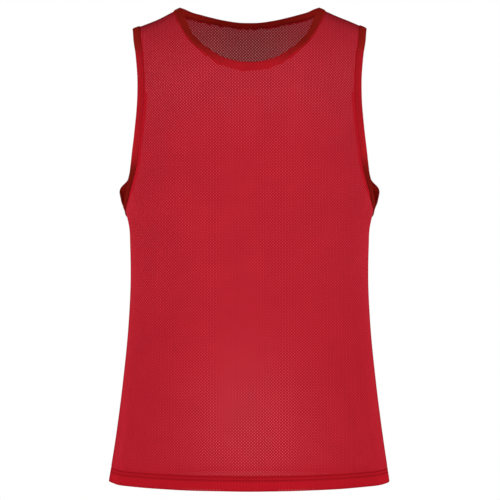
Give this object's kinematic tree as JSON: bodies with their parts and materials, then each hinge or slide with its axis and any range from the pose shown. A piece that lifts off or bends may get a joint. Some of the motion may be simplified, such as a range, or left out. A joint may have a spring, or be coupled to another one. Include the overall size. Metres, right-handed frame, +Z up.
{
  "type": "mesh training bib",
  "caption": "Sleeveless pull-on sports vest of open-hole knit with a scooped neck, taped neck and armholes and a turned-up hem, filled out as when it is worn.",
  "frame": {"origin": "midway between the two high shoulder points, where the neck edge crosses the shoulder seams", "axes": "+Z up, the front faces -Y, +X is the wearer's left"},
  "size_m": [0.4098, 0.2638, 0.6916],
  "materials": {
    "mesh_knit": "matt polyester knit with small open holes and a faint sheen",
    "binding_tape": "plain close knit tape, satin"
  },
  "bodies": {
    "root": {"front_panel": "mesh_knit", "back_panel": "mesh_knit", "neck_binding": "binding_tape", "armhole_binding_left": "binding_tape", "armhole_binding_right": "binding_tape"}
  },
  "joints": []
}
